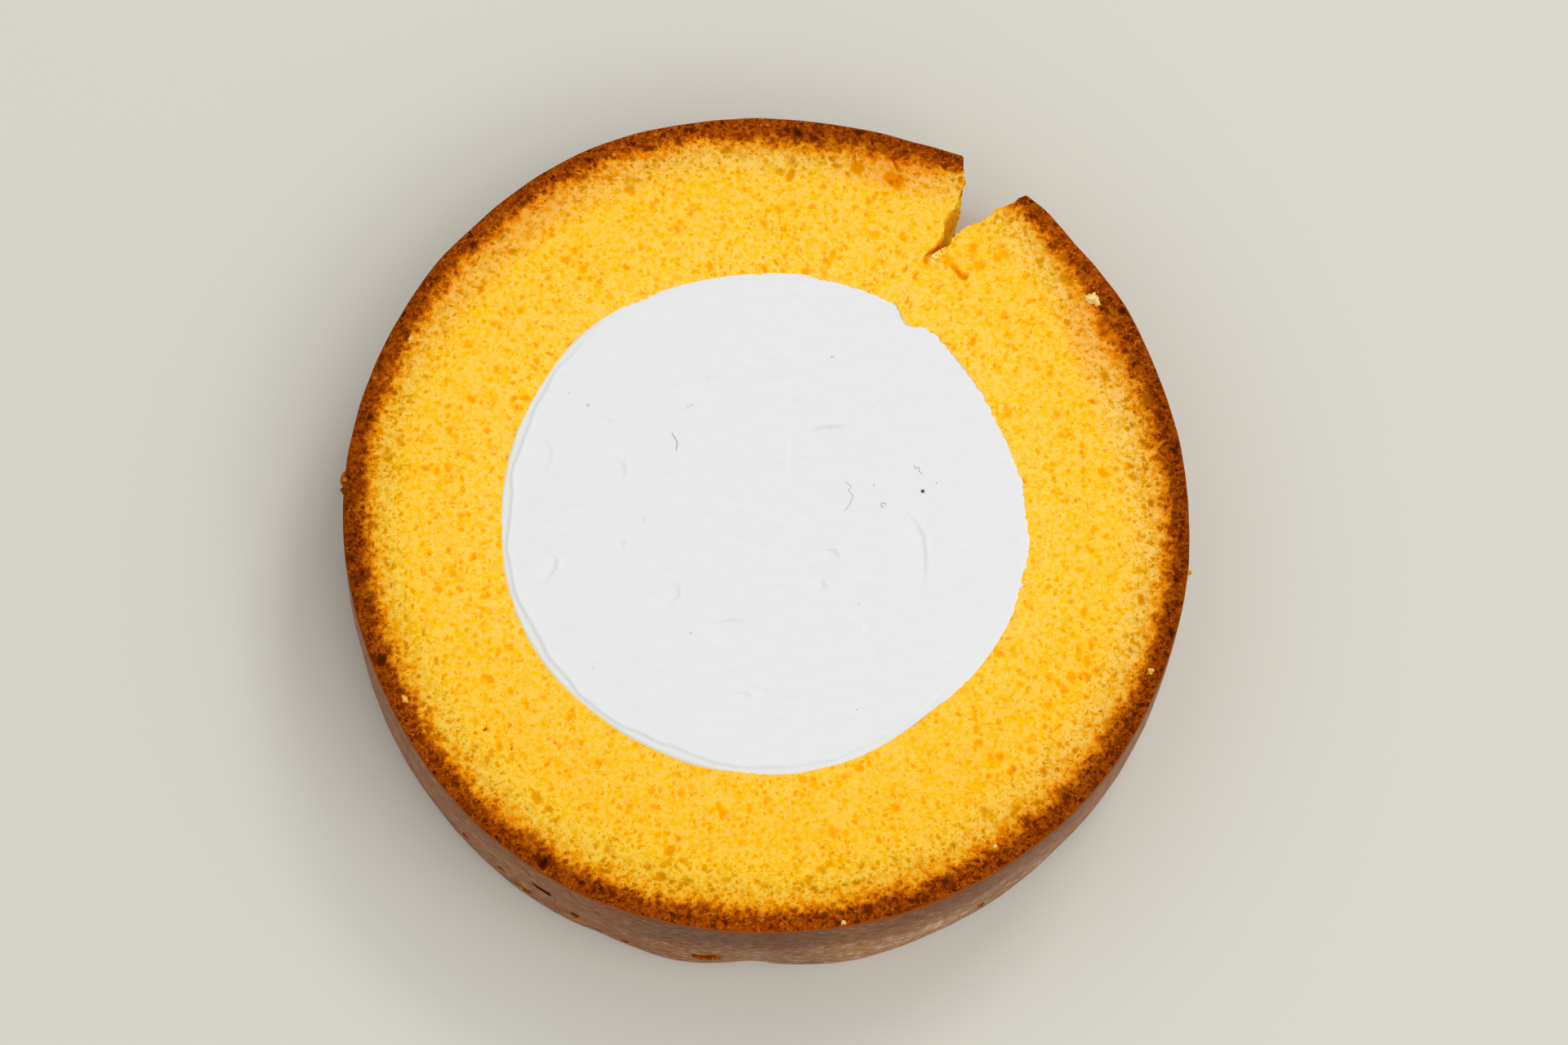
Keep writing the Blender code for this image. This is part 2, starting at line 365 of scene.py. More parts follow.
def hollowOut(flat, real):  # how deep, how dark and how toasted each of these top places is; the darkness is painted shade in pores, holes and grooves
    dice = random.Random(sponge["seed"])
    warped = flat.copy()
    warped[:, 2] = 0.0
    warped[:, 0] += 0.45 * waves(flat, 0.8, 3.0)
    warped[:, 1] += 0.45 * waves(flat, 0.8, 9.0)
    flatTree = kdtree.KDTree(len(flat))
    realTree = kdtree.KDTree(len(flat))
    shift = warped - flat
    for order, place in enumerate(warped.tolist()):
        flatTree.insert(place, order)
        realTree.insert((real[order][0] + shift[order][0], real[order][1] + shift[order][1], 0.0), order)
    flatTree.balance()
    realTree.balance()
    sink, dark, toastAndShade = np.zeros(len(flat)), np.zeros(len(flat)), np.zeros(len(flat))

    def bowl(tree, x, y, radius, depth, darkness, toastAndShadeShare):
        for _, order, distance in tree.find_range((x, y, 0.0), radius * 1.25):
            inside = float(ease(1.2, 0.45, distance / radius))
            sink[order] = max(sink[order], depth * inside)
            dark[order] = max(dark[order], darkness * inside)
            toastAndShade[order] = max(toastAndShade[order], toastAndShadeShare * inside)

    # random pores, each painted darker as shade inside it
    for _ in range(sponge["poreCount"]):
        x = dice.uniform(0.0, sponge["length"])
        y = dice.uniform(0.0, sponge["thickness"])
        size = dice.random() ** 4
        bowl(flatTree, x, y, 0.17 + 0.40 * size, 0.14 + 0.22 * dice.random(), 0.5 + 0.5 * dice.random(), 0.0)
    for x, y, radius, depth, toastAndShadeShare in ownHoles:
        bowl(realTree, x, y, radius, depth, min(1.0, 2.2 * depth), toastAndShadeShare)
    for points, halfWidth, depth, darkness, toastAndShadeShare in tears:
        near = 1.0 - ease(0.35 * halfWidth, halfWidth, distanceTo(points, real + 0.6 * shift))
        sink = np.where(near > 0.0, sink * (1.0 - near) + depth * near, sink)
        dark = np.maximum(dark * (1.0 - near * (depth < 0.0)), darkness * near)
        toastAndShade = np.maximum(toastAndShade, toastAndShadeShare * near)
    return sink, dark, toastAndShade


def makeSponge(surfaces):
    length, thickness, height = sponge["length"], sponge["thickness"], roll["height"]
    slab = flatSheet()
    thinOut(slab)
    bmesh.ops.recalc_face_normals(slab, faces=slab.faces[:])
    bmesh.ops.reverse_faces(slab, faces=slab.faces[:])  # rolling it the cake's way turns it inside out
    for face in slab.faces:
        atFoot = all(vert.co.z < sponge["edgeRound"] + 0.01 for vert in face.verts)
        reach = sponge["edgeRound"] + 0.01 if atFoot else 0.01
        onSkin = all(vert.co.y > thickness - reach for vert in face.verts)
        atEnd = all(vert.co.x < 0.01 for vert in face.verts) or all(vert.co.x > length - 0.01 for vert in face.verts)
        face.material_index = 1 if onSkin else 2 if atEnd else 0
    mesh = meshOf("sponge_ring", slab)
    flat = placesOf(mesh)
    x, y, z = flat[:, 0].copy(), flat[:, 1].copy(), flat[:, 2].copy()
    fromSkin, fromTop = thickness - y, height - z
    toEnd = np.minimum(x, length - x)
    addValues(mesh, "sheetPlace", np.stack((x, fromSkin, fromTop), axis=1) * mm)
    real = rolled(x / length, y / thickness, z)
    slide = slideToPart(real)
    real += slide
    print("sheet rolled, moved by", slide.round(3))
    # holes in the top face
    top = np.nonzero(fromTop < 0.01)[0]
    sink, dark, toastAndShade = np.zeros(len(flat)), np.zeros(len(flat)), np.zeros(len(flat))
    sink[top], dark[top], toastAndShade[top] = hollowOut(flat[top], real[top])
    # painted shade of the pores, holes and grooves, and toasting that is partly painted shadow
    addValues(mesh, "hollow", dark)
    addValues(mesh, "toastAndShade", toastAndShade)
    # torn ends: they share one line where they meet, and are ragged apart where they gape
    gape = ease(roll["seamTop"], roll["seamTop"] + 0.08, y / thickness)
    nearEnd = ease(1.6, 0.0, toEnd)
    side = np.stack((y, z, 0.0 * y), axis=1)
    shared = sponge["closedWave"] * waves(side, 2.4, 2.0)
    ragged = 0.28 * waves(flat, 2.4, 7.0) + 0.40 * waves(flat, 0.9, 2.0) + 0.32 * waves(flat, 0.45, 5.0)
    ragged *= sponge["tornEnd"] * gape * ease(-0.2, 1.5, fromSkin)
    ragged = np.where(x < 0.5 * length, ragged, -ragged)
    # crumb teeth along the cream
    angle = sheetAngle(x / length, y / thickness)
    baked = bakedFrom(angle, fromSkin)
    addValues(mesh, "bakedFrom", baked)
    addValues(mesh, "tone", toneOf(angle, baked))
    addValues(mesh, "wallTone", wallToneOf(angle % 360.0, fromTop, flat))
    right = ease(-0.2, 0.6, np.cos(np.radians(angle - 5.0)))
    teeth = sponge["teethLeft"] + (sponge["teethRight"] - sponge["teethLeft"]) * right
    bite = waves(flat, 1.3, 1.0) + 0.7 * waves(flat, 0.6, 4.0)
    teeth *= 1.3 * bite * ease(0.9, 0.0, y) * ease(3.0, 1.0, fromTop)
    # the skin's long low swells
    swell = 0.22 * waves(flat, 9.0, 6.0) * (0.4 + 0.6 * fromTop / height) + 0.06 * waves(flat, 2.2, 8.0)
    swell *= ease(1.0, 0.0, fromSkin)
    swell += swellsAt(skinBumps, angle) * ease(5.0, 0.0, fromSkin)
    swell += swellsAt(footBumps, angle) * ease(3.0, 0.0, fromSkin) * ease(9.0, 1.0, z)
    # the cut face's own relief
    rough = sponge["grain"] * (waves(flat, 0.6, 1.0) + 0.9 * waves(flat, 0.33, 2.0))
    rise = sponge["unevenness"] * waves(flat, 7.0, 4.0) + (0.5 + 0.5 * ease(1.0, 3.0, fromSkin)) * rough
    rise = rise * ease(0.9, 0.0, fromTop) - sink
    x += nearEnd * (shared + ragged)
    y += teeth + swell
    places = rolled(x / length, y / thickness, z) + slide
    places[:, 2] += rise
    mesh.vertices.foreach_set("co", (places * mm).ravel())
    toScene("sponge_ring", mesh, surfaces, "sponge")
    return slide, places[fromSkin < 0.01]


# Node helpers


def newSurface(name):
    made = bpy.data.materials.new(name)
    made.use_nodes = True
    return made, made.node_tree, made.node_tree.nodes["Principled BSDF"]


def addNode(tree, kind, inputs, **settings):
    made = tree.nodes.new("ShaderNode" + kind)
    for name, value in settings.items():
        setattr(made, name, value)
    for socket, value in inputs.items():
        if isinstance(value, bpy.types.NodeSocket):
            tree.links.new(value, made.inputs[socket])
        else:
            made.inputs[socket].default_value = value
    return made


def calc(tree, operation, first, second=0.0, third=0.0):
    return addNode(tree, "Math", {0: first, 1: second, 2: third}, operation=operation).outputs[0]


def calcVector(tree, operation, first, second, third=(0.0, 0.0, 0.0)):
    return addNode(tree, "VectorMath", {0: first, 1: second, 2: third}, operation=operation).outputs[0]


def strongest(tree, *values):
    found = values[0]
    for value in values[1:]:
        found = calc(tree, "MAXIMUM", found, value)
    return found


def softStep(tree, value, low, high):  # 0 at low, 1 at high
    inputs = {"Value": value, "From Min": low, "From Max": high}
    return addNode(tree, "MapRange", inputs, interpolation_type="SMOOTHSTEP").outputs[0]


def mixColour(tree, share, first, second):
    return addNode(tree, "Mix", {0: share, 6: first, 7: second}, data_type="RGBA").outputs[2]


def colourBand(tree, place, stops, span):  # stops are (place in mm, colour)
    made = addNode(tree, "ValToRGB", {0: calc(tree, "DIVIDE", place, span)})
    band = made.color_ramp
    band.elements[0].position = stops[0][0] / span
    band.elements[0].color = stops[0][1]
    band.elements[1].position = stops[-1][0] / span
    band.elements[1].color = stops[-1][1]
    for where, colour in stops[1:-1]:
        band.elements.new(where / span).color = colour
    return made.outputs["Color"]


def grainOf(tree, vector, scale, detail=2.0, roughness=0.5):
    inputs = {"Vector": vector, "Scale": scale, "Detail": detail, "Roughness": roughness}
    return addNode(tree, "TexNoise", inputs).outputs["Fac"]


def pits(tree, vector, scale, least, most):  # hollows of many sizes and strengths; radii in shares of a cell
    cells = addNode(tree, "TexVoronoi", {"Vector": vector, "Scale": scale})
    dice = addNode(tree, "SeparateColor", {0: cells.outputs["Color"]}).outputs
    radius = calc(tree, "MULTIPLY_ADD", dice[0], most - least, least)
    found = softStep(tree, cells.outputs["Distance"], radius, calc(tree, "MULTIPLY", radius, 0.45))
    return calc(tree, "MULTIPLY", found, calc(tree, "MULTIPLY_ADD", dice[1], 0.5, 0.5))


def readValue(tree, name, output="Fac"):
    return addNode(tree, "Attribute", {}, attribute_name=name).outputs[output]


# The crumb, from the browned rim to the yellow middle, and the smooth skin outside

crumbLight = 1.22  # the cut face shades itself a little

crumbLook = {  # (mm from the skin, colour)
    "body": [
        (0.0, lookAs(134, 53, 0, crumbLight)),
        (1.2, lookAs(135, 53, 0, crumbLight)),
        (1.8, lookAs(169, 76, 1, crumbLight)),
        (2.4, lookAs(219, 121, 2, crumbLight)),
        (3.1, lookAs(237, 157, 4, crumbLight)),
        (4.0, lookAs(239, 176, 6, crumbLight)),
        (5.2, lookAs(246, 186, 5, crumbLight)),
        (7.0, lookAs(264, 194, 8, crumbLight)),
        (10.0, lookAs(274, 195, 12, crumbLight)),
        (15.0, lookAs(274, 199, 20, crumbLight)),
    ],
    "flecks": [
        (0.0, lookAs(160, 73, 4, crumbLight)),
        (1.2, lookAs(162, 75, 4, crumbLight)),
        (1.8, lookAs(194, 97, 5, crumbLight)),
        (2.4, lookAs(228, 141, 10, crumbLight)),
        (3.1, lookAs(241, 179, 52, crumbLight)),
        (4.0, lookAs(243, 197, 90, crumbLight)),
        (5.2, lookAs(250, 204, 88, crumbLight)),
        (7.0, lookAs(266, 206, 78, crumbLight)),
        (10.0, lookAs(274, 206, 80, crumbLight)),
        (15.0, lookAs(274, 210, 88, crumbLight)),
    ],
    # the pores' colours are painted shade and warm bounce light inside them, darkest in the browned rim
    "pores": [
        (0.0, lookAs(60, 18, 0, crumbLight)),
        (1.2, lookAs(60, 18, 0, crumbLight)),
        (1.8, lookAs(92, 34, 0, crumbLight)),
        (2.4, lookAs(150, 70, 0, crumbLight)),
        (3.1, lookAs(190, 108, 1, crumbLight)),
        (4.0, lookAs(206, 128, 2, crumbLight)),
        (5.2, lookAs(226, 146, 1, crumbLight)),
        (7.0, lookAs(252, 162, 0, crumbLight)),
        (10.0, lookAs(274, 166, 0, crumbLight)),
        (15.0, lookAs(274, 169, 0, crumbLight)),
    ],
    # the toasted colour: real browning in holes and blotches, and painted shadow in the crack and along the seam groove
    "toastAndShade": lookAs(244, 146, 1, crumbLight),
    # the toasted colour in the painted shade of a pore
    "toastInPoreShade": lookAs(150, 66, 2, crumbLight),
    "fibre": lookAs(194, 110, 34, crumbLight),
    "edgeLine": lookAs(164, 88, 40, crumbLight),
}

skinLook = {
    "body": lookAs(151, 90, 29, 1.0),
    "streak": lookAs(114, 61, 18, 1.0),
    # pale greyish dashes: the skin's own streaks with painted sheen of the floor in them
    "paleDashes": lookAs(188, 142, 102, 1.0),
    "upper": lookAs(146, 77, 30, 1.0),
    "pit": lookAs(76, 36, 14, 1.0),
    "foot": lookAs(158, 82, 24, 1.0),
}


def crumbSurface(name, glow=0.0, lift=(1.0, 1.0, 1.0)):  # the ends that gape let light through; lift tints them with painted warm bounce light, as in a shaded notch
    made, tree, shader = newSurface(name)
    here = addNode(tree, "TexCoord", {}).outputs["Object"]
    parts = addNode(tree, "SeparateXYZ", {0: readValue(tree, "sheetPlace", "Vector")})
    fromSkin = calc(tree, "MULTIPLY", parts.outputs["Y"], 1000.0)
    fromTop = calc(tree, "MULTIPLY", parts.outputs["Z"], 1000.0)
    hollow = readValue(tree, "hollow")
    wobble = addNode(tree, "TexNoise", {"Vector": here, "Scale": 2400.0}).outputs["Color"]
    bent = calcVector(tree, "MULTIPLY_ADD", wobble, (0.0008, 0.0008, 0.0008), here)
    grain = grainOf(tree, here, 1600.0, 3.0, 0.6)
    fibres = grainOf(tree, here, 3600.0, 1.0)
    blotch = grainOf(tree, here, 800.0, 4.0, 0.65)
    drift = grainOf(tree, here, 190.0)
    # the browned zone's border wanders
    wander = calc(tree, "MULTIPLY_ADD", blotch, 2.8, -1.4)
    wander = calc(tree, "ADD", wander, calc(tree, "MULTIPLY_ADD", drift, 0.8, -0.4))
    wander = calc(tree, "ADD", wander, calc(tree, "MULTIPLY_ADD", grain, 0.8, -0.4))
    wander = calc(tree, "MULTIPLY", wander, softStep(tree, fromSkin, 0.3, 2.0))
    place = strongest(tree, calc(tree, "ADD", readValue(tree, "bakedFrom"), wander), 0.0)
    crust = softStep(tree, place, 2.6, 1.6)
    straw = calc(tree, "MULTIPLY", softStep(tree, place, 8.0, 5.0), softStep(tree, place, 1.8, 3.2))
    # pores of three sizes, and mottling in the browned rim; the pores are painted with the shade and warm bounce light
    # inside them
    tiny = pits(tree, bent, 2300.0, 0.10, 0.50)
    fine = pits(tree, bent, 1250.0, 0.08, 0.56)
    wide = pits(tree, bent, 560.0, 0.0, 0.42)
    mottle = softStep(tree, grainOf(tree, bent, 1700.0, 2.0), 0.52, 0.64)
    pores = strongest(
        tree,
        calc(tree, "MULTIPLY", tiny, calc(tree, "MULTIPLY_ADD", softStep(tree, place, 9.0, 5.0), 0.30, 0.60)),
        calc(tree, "MULTIPLY", fine, 0.92),
        calc(tree, "MULTIPLY", wide, calc(tree, "MULTIPLY_ADD", straw, -0.15, 0.50)),
        calc(tree, "MULTIPLY", mottle, calc(tree, "MULTIPLY", crust, 0.5)),
        hollow,
    )
    span = 15.0
    flecks = addNode(tree, "Mix", {0: 0.38, 2: grain, 3: fibres}, data_type="FLOAT").outputs[0]
    flecks = addNode(tree, "Mix", {0: 0.25, 2: flecks, 3: blotch}, data_type="FLOAT").outputs[0]
    flecks = softStep(tree, flecks, 0.40, 0.57)
    flecks = calc(tree, "MULTIPLY", flecks, softStep(tree, pores, 0.6, 0.15))  # no pale crumb in a pore
    flecks = calc(tree, "MULTIPLY", flecks, softStep(tree, readValue(tree, "toastAndShade"), 0.3, 0.05))
    body = colourBand(tree, place, crumbLook["body"], span)
    colour = mixColour(tree, flecks, body, colourBand(tree, place, crumbLook["flecks"], span))
    fibre = calc(tree, "MULTIPLY", softStep(tree, fibres, 0.64, 0.72), crust)
    colour = mixColour(tree, fibre, colour, crumbLook["fibre"])
    colour = mixColour(tree, pores, colour, colourBand(tree, place, crumbLook["pores"], span))
    # toasted colour: real browning, and painted shadow in the wedge-shaped crack and along the seam groove; in pores it
    # takes a darker painted shade
    toastAndShadeColour = mixColour(tree, pores, crumbLook["toastAndShade"], crumbLook["toastInPoreShade"])
    colour = mixColour(tree, readValue(tree, "toastAndShade"), colour, toastAndShadeColour)
    edge = calc(tree, "MULTIPLY", softStep(tree, fromSkin, 0.25, 0.05), softStep(tree, fromTop, 0.02, 0.3))
    colour = mixColour(tree, edge, colour, crumbLook["edgeLine"])
    colour = calcVector(tree, "MULTIPLY", colour, readValue(tree, "tone", "Vector"))
    colour = calcVector(tree, "MULTIPLY", colour, lift)
    tree.links.new(colour, shader.inputs["Base Color"])
    shader.inputs["Roughness"].default_value = 1.0
    shader.inputs["Specular IOR Level"].default_value = 0.0
    shader.inputs["Subsurface Weight"].default_value = glow
    shader.inputs["Subsurface Radius"].default_value = (1.0, 0.6, 0.2)
    shader.inputs["Subsurface Scale"].default_value = 0.004
    height = calc(tree, "MULTIPLY_ADD", pores, -1.0, calc(tree, "MULTIPLY", grain, 0.8))
    bump = addNode(tree, "Bump", {"Height": height, "Strength": 0.35, "Distance": 0.00007})
    tree.links.new(bump.outputs["Normal"], shader.inputs["Normal"])
    return made


def skinSurface():
    made, tree, shader = newSurface("browned skin")
    sheet = readValue(tree, "sheetPlace", "Vector")
    fromTop = calc(tree, "MULTIPLY", addNode(tree, "SeparateXYZ", {0: sheet}).outputs["Z"], 1000.0)
    crinkle = grainOf(tree, calcVector(tree, "MULTIPLY", sheet, (760.0, 1.0, 2200.0)), 1.0, 4.0, 0.6)
    speckle = grainOf(tree, sheet, 2600.0, 2.0)
    fine = grainOf(tree, calcVector(tree, "MULTIPLY", sheet, (1100.0, 1.0, 2900.0)), 1.0, 3.0)
    broad = grainOf(tree, calcVector(tree, "MULTIPLY", sheet, (130.0, 1.0, 330.0)), 1.0, 3.0)
    colour = mixColour(tree, softStep(tree, crinkle, 0.40, 0.62), skinLook["body"], skinLook["streak"])
    # pale greyish dashes: the skin's own streaks with painted sheen of the floor in them
    paleDashes = calc(tree, "ADD", calc(tree, "MULTIPLY", fine, 0.75), calc(tree, "MULTIPLY", broad, 0.25))
    colour = mixColour(tree, softStep(tree, paleDashes, 0.49, 0.68), colour, skinLook["paleDashes"])
    colour = mixColour(tree, softStep(tree, speckle, 0.62, 0.74), colour, skinLook["pit"])
    colour = mixColour(tree, softStep(tree, fromTop, 1.6, 0.2), colour, skinLook["upper"])
    stain = calc(tree, "MULTIPLY", softStep(tree, fromTop, 15.9, 16.7), softStep(tree, broad, 0.45, 0.55))
    colour = mixColour(tree, stain, colour, skinLook["foot"])
    # broad random tone, and painted shade: darker near the top, lighter towards the foot
    shade = calc(tree, "MULTIPLY_ADD", broad, 0.18, 0.78)
    shade = calc(tree, "MULTIPLY", shade, calc(tree, "MULTIPLY_ADD", softStep(tree, fromTop, 1.0, 9.0), 0.18, 0.92))
    colour = calcVector(tree, "MULTIPLY", colour, addNode(tree, "CombineXYZ", {0: shade, 1: shade, 2: shade}).outputs[0])
    colour = calcVector(tree, "MULTIPLY", colour, readValue(tree, "wallTone", "Vector"))
    tree.links.new(colour, shader.inputs["Base Color"])
    tree.links.new(calc(tree, "MULTIPLY_ADD", crinkle, 0.25, 0.38), shader.inputs["Roughness"])
    shader.inputs["Specular IOR Level"].default_value = 0.19
    height = calc(tree, "MULTIPLY_ADD", fine, 0.4, crinkle)
    bump = addNode(tree, "Bump", {"Height": height, "Strength": 0.5, "Distance": 0.00008})
    tree.links.new(bump.outputs["Normal"], shader.inputs["Normal"])
    return made


# The cream

cream = {  # mm
    "cells": 290,
    "overlap": 0.30,
    "proud": 0.17,  # above the sponge's face in the middle, and how much more at the soft side's rim
    "proudMore": 0.19,
    "softSide": 225.0,  # degrees, the middle of the side with the soft shoulder
    "ledge": 0.85,  # width of the lower band along the rim
    "ledgeDrop": 0.20,
    "lip": 0.05,
    "edgeFall": 0.26,
    "markDepth": 1.7,
    "smear": 0.018,
}

# Marks that the knife left: points along the lip, how far the dent fades, its depth, which side is dented
creamMarks = [
    ([(3.84, 9.36), (6.29, 10.09), (9.0, 10.27)], 2.2, 0.16, -1),
    ([(2.1, 5.0), (2.3, 7.0), (2.44, 8.91)], 1.6, 0.06, -1),
    ([(-8.1, 14.72), (-6.44, 15.45), (-4.25, 15.46)], 1.2, 0.09, -1),
    ([(11.2, 11.64), (12.44, 12.73), (13.41, 13.46)], 0.9, 0.12, -1),
    ([(-16.1, 6.2), (-15.2, 6.1), (-14.9, 5.0), (-15.4, 3.9)], 1.2, 0.07, -1),
    ([(-23.6, 8.6), (-22.9, 7.6), (-22.9, 6.2), (-23.6, 5.0)], 1.2, 0.06, -1),
    ([(-17.2, 11.0), (-16.5, 10.7), (-16.4, 10.2)], 0.8, 0.05, -1),
    ([(-13.4, 0.4), (-12.9, 0.0), (-12.9, -1.0)], 0.8, 0.05, -1),
    ([(-15.7, -2.6), (-15.1, -2.8), (-15.3, -3.6)], 0.8, 0.09, -1),
    ([(-22.9, -4.3), (-22.2, -4.6), (-22.4, -5.8), (-23.4, -7.2)], 0.9, 0.11, -1),
    ([(-10.0, -7.1), (-9.3, -7.7), (-9.3, -8.7), (-10.2, -9.6)], 1.4, 0.08, -1),
    ([(-6.03, -11.89), (-4.99, -11.53), (-3.86, -11.26), (-3.0, -11.26), (-2.22, -11.44)], 0.9, 0.15, -1),
    ([(-3.65, -19.63), (-3.04, -19.27), (-2.27, -19.19), (-1.49, -19.72)], 0.9, 0.12, -1),
    ([(-1.14, -19.19), (-0.36, -18.92), (0.67, -18.83)], 0.8, 0.11, -1),
    ([(5.47, -3.83), (6.43, -3.56), (7.3, -3.56), (7.89, -4.64)], 1.3, 0.11, -1),
    ([(5.7, -7.06), (6.48, -7.69)], 0.7, 0.09, -1),
    ([(15.26, 0.31), (16.2, -0.86), (16.79, -2.12), (17.02, -4.73), (16.9, -7.06)], 1.6, 0.10, -1),
    ([(10.77, -11.54), (10.2, -12.1), (9.98, -12.79)], 0.8, 0.06, 1),
    ([(11.08, -14.75), (11.6, -14.0), (12.3, -13.95)], 0.8, 0.06, -1),
    ([(10.95, -26.1), (13.74, -23.9), (18.1, -20.53), (20.71, -19.03)], 1.4, 0.12, -1),
]


def markRelief(places, points, fade, depth, side):  # a lip with a dent behind it that fades away
    corners = np.array(points)
    reach = 3.0 * fade
    near = np.all((places[:, :2] > corners.min(axis=0) - reach) & (places[:, :2] < corners.max(axis=0) + reach), axis=1)
    chosen = np.nonzero(near)[0]
    samples, headings = [], []
    for start, end in zip(corners, corners[1:]):
        long = np.linalg.norm(end - start)
        steps = max(2, int(long / 0.12))
        samples += [start + (end - start) * step / steps for step in range(steps)]
        headings += [(end - start) / long] * steps
    samples, headings = np.array(samples), np.array(headings)
    gaps = places[chosen, None, :2] - samples[None]
    order = np.argmin((gaps**2).sum(axis=2), axis=1)
    offset = gaps[np.arange(len(chosen)), order]
    heading = headings[order]
    across = side * (heading[:, 0] * offset[:, 1] - heading[:, 1] * offset[:, 0])
    beyond = (heading * offset).sum(axis=1)
    depth = depth * cream["markDepth"]
    taper = np.sin(math.pi * (0.08 + 0.84 * order / (len(samples) - 1)))
    taper *= np.exp(-((beyond / (0.5 * fade)) ** 2))
    dent = -depth * np.exp(-np.maximum(across, 0.0) / fade) * ease(0.0, 0.22, across)
    lip = 0.45 * depth * np.exp(-((across / 0.35) ** 2)) * (across <= 0.0)
    places[chosen, 2] += (dent + lip) * taper


def makeCream(surface, slide):
    height, rim = roll["height"], roll["creamRadius"]
    disc = bmesh.new()
    bmesh.ops.create_grid(disc, x_segments=cream["cells"], y_segments=cream["cells"], size=1.0)
    bmesh.ops.translate(disc, verts=disc.verts, vec=(0.0, 0.0, height))
    border = [edge for edge in disc.edges if edge.is_boundary]
    for low in (height - 1.5, height - 6.0, 0.0):
        lowered = bmesh.ops.extrude_edge_only(disc, edges=border)["geom"]
        for vert in (part for part in lowered if isinstance(part, bmesh.types.BMVert)):
            vert.co.z = low
        border = [part for part in lowered if isinstance(part, bmesh.types.BMEdge)]
    bmesh.ops.contextual_create(disc, geom=border)
    bmesh.ops.recalc_face_normals(disc, faces=disc.faces[:])
    mesh = meshOf("cream_core", disc)
    places = placesOf(mesh)
    # square rings become round ones
    u, v = places[:, 0].copy(), places[:, 1].copy()
    square = np.maximum(np.abs(u), np.abs(v))
    ring = square + 0.45 * square**12 * (1.0 - square)  # finer towards the rim
    wide = np.abs(u) >= np.abs(v)
    safeU, safeV = np.where(np.abs(u) < 1e-9, 1e-9, u), np.where(np.abs(v) < 1e-9, 1e-9, v)
    turn = np.where(wide, 0.25 * math.pi * v / safeU, 0.5 * math.pi - 0.25 * math.pi * u / safeV)
    reach = np.where(wide, u, v)
    turn = np.arctan2(reach * np.sin(turn), reach * np.cos(turn))
    angle = np.degrees(turn)
    radius = creamRadius(angle) + cream["overlap"]
    fromRim = (1.0 - ring) * radius
    soft = ease(-0.25, 0.35, np.cos(np.radians(angle - cream["softSide"])))
    proud = cream["proud"] + cream["proudMore"] * ring * np.cos(np.radians(angle - cream["softSide"]))
    around = np.stack((30.0 * np.cos(turn), 30.0 * np.sin(turn), 0.0 * turn), axis=1)
    step = cream["ledge"] * (1.0 + 0.6 * waves(around, 9.0, 3.0) + 0.3 * waves(around, 2.5, 1.0))
    drop = cream["ledgeDrop"] * ease(step + 0.10, step - 0.10, fromRim)
    drop -= cream["lip"] * np.exp(-(((fromRim - step - 0.28) / 0.25) ** 2))
    drop += cream["edgeFall"] * ease(0.40, 0.0, fromRim) ** 2
    drop *= soft
    crisp = (1.0 - soft) * 0.10 * ease(0.5, 0.0, fromRim)
    onTop = places[:, 2] > height - 0.01
    places[:, 0] = ring * radius * np.cos(turn) + slide[0]
    places[:, 1] = ring * radius * np.sin(turn) + slide[1]
    face = places[onTop]
    for points, fade, depth, side in creamMarks:
        markRelief(face, points, fade, depth, side)
    drawn = face * np.array((1.0, 3.0, 1.0))
    smear = waves(drawn, 6.0, 2.0) + 0.5 * waves(drawn, 1.8, 5.0)
    face[:, 2] += cream["smear"] * smear + 0.006 * waves(face, 0.5, 1.0) + 0.05 * waves(face, 14.0, 7.0)
    face[:, 2] += (proud - drop - crisp)[onTop]
    places[onTop] = face
    mesh.vertices.foreach_set("co", (places * mm).ravel())
    addValues(mesh, "rimShade", soft * ease(step + 0.1, step - 0.2, fromRim))
    toScene("cream_core", mesh, [surface], "cream")
    return face


creamLook = {
    "body": lookAs(234, 234, 234),
    "smear": lookAs(231, 232, 232),
    "rim": lookAs(231, 232, 226),
}


def creamSurface():
    made, tree, shader = newSurface("whipped cream")
    here = addNode(tree, "TexCoord", {}).outputs["Object"]
    rimShade = readValue(tree, "rimShade")
    dragged = addNode(tree, "Mapping", {0: here, 2: (0.0, 0.0, 0.2), 3: (1.0, 3.0, 1.0)}).outputs[0]
    smear = grainOf(tree, dragged, 420.0, 4.0, 0.6)
    grain = grainOf(tree, here, 2600.0)
    colour = mixColour(tree, softStep(tree, smear, 0.35, 0.65), creamLook["body"], creamLook["smear"])
    colour = mixColour(tree, rimShade, colour, creamLook["rim"])
    tree.links.new(colour, shader.inputs["Base Color"])
    tree.links.new(calc(tree, "MULTIPLY_ADD", smear, 0.2, 0.45), shader.inputs["Roughness"])
    shader.inputs["Specular IOR Level"].default_value = 0.3
    height = calc(tree, "MULTIPLY_ADD", grain, 0.35, smear)
    bump = addNode(tree, "Bump", {"Height": height, "Strength": 0.3, "Distance": 0.00005})
    tree.links.new(bump.outputs["Normal"], shader.inputs["Normal"])
    return made


# Loose crumbs: place, half sizes along the skin, out of it and up, from how far in they come, finish, how dark

